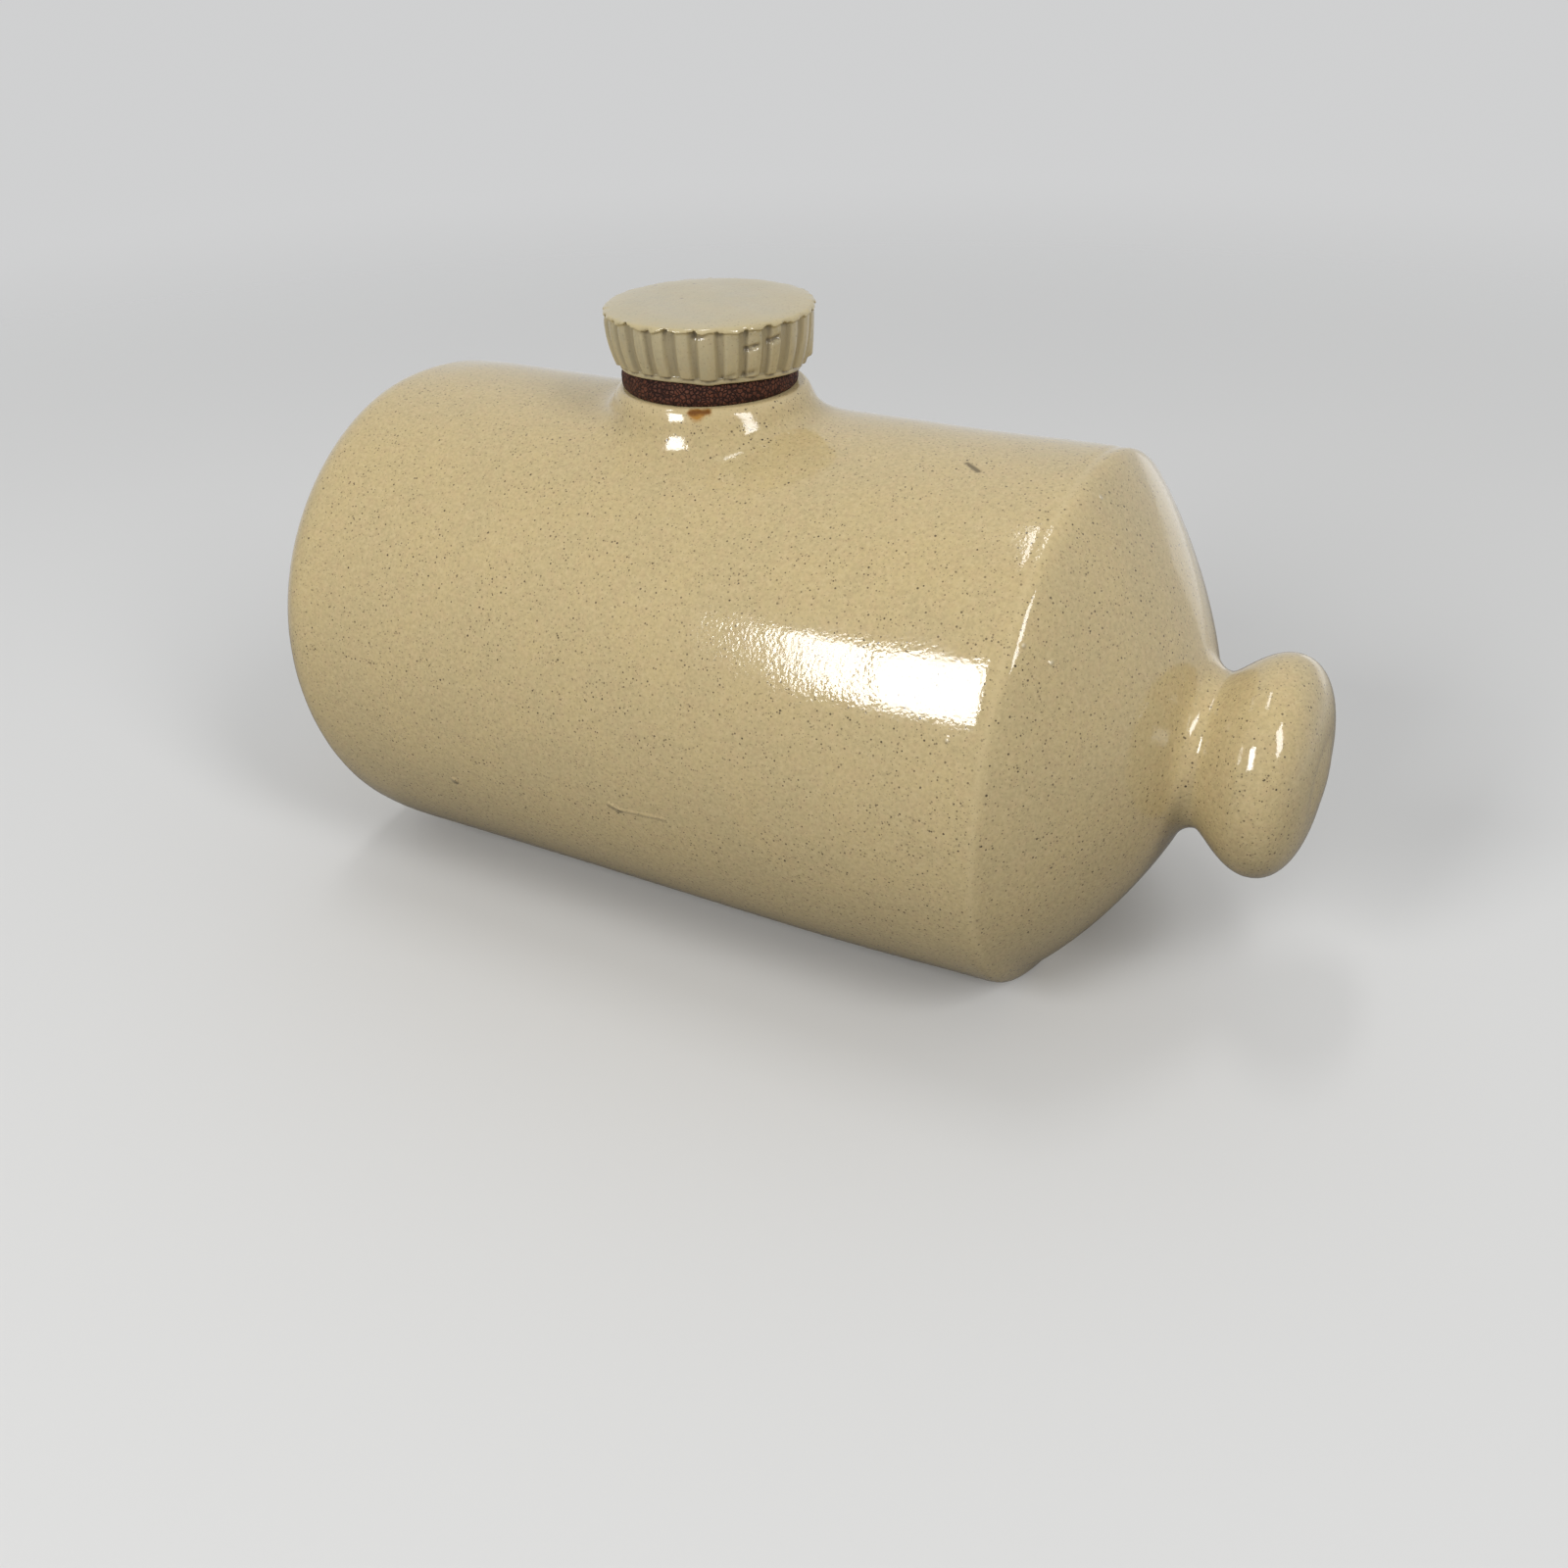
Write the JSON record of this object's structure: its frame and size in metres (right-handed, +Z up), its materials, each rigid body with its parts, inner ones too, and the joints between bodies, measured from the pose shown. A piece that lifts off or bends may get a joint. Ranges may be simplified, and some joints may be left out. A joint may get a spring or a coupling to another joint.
{
  "type": "stoneware hot water bottle",
  "caption": "Glazed stoneware hot water bottle: round barrel lying on a flat, mushroom knob at one end, screw stopper with grooved head sealing the neck on a rubber washer.",
  "frame": {"origin": "on the flat underside of the barrel, straight below the stopper's axis", "axes": "+X along the barrel to the knob, +Z up through the stopper"},
  "size_m": [0.2589, 0.132, 0.1544],
  "materials": {
    "bottle_glaze": "glossy oatmeal glaze with fine dark specks",
    "stopper_glaze": "glossy oatmeal glaze, a little greyer",
    "washer_rubber": "matte red-brown, finely cracked"
  },
  "bodies": {
    "bottle": {"bottle": "bottle_glaze"},
    "washer": {"washer": "washer_rubber"},
    "stopper": {"stopper": "stopper_glaze"}
  },
  "joints": [
    {"name": "stopper_lift", "type": "slide", "parent": "bottle", "child": "washer", "axis": [0, 0, 1], "range_m": [0, 0.036]},
    {"name": "stopper_turn", "type": "hinge", "parent": "washer", "child": "stopper", "pos_m": [0, 0, 0.13487], "axis": [0, 0, 1], "range_deg": [0, 1440]}
  ],
  "couplings": [
    {"joint": "stopper_lift", "follows": "stopper_turn", "m_per_rad": 0.0014324}
  ]
}
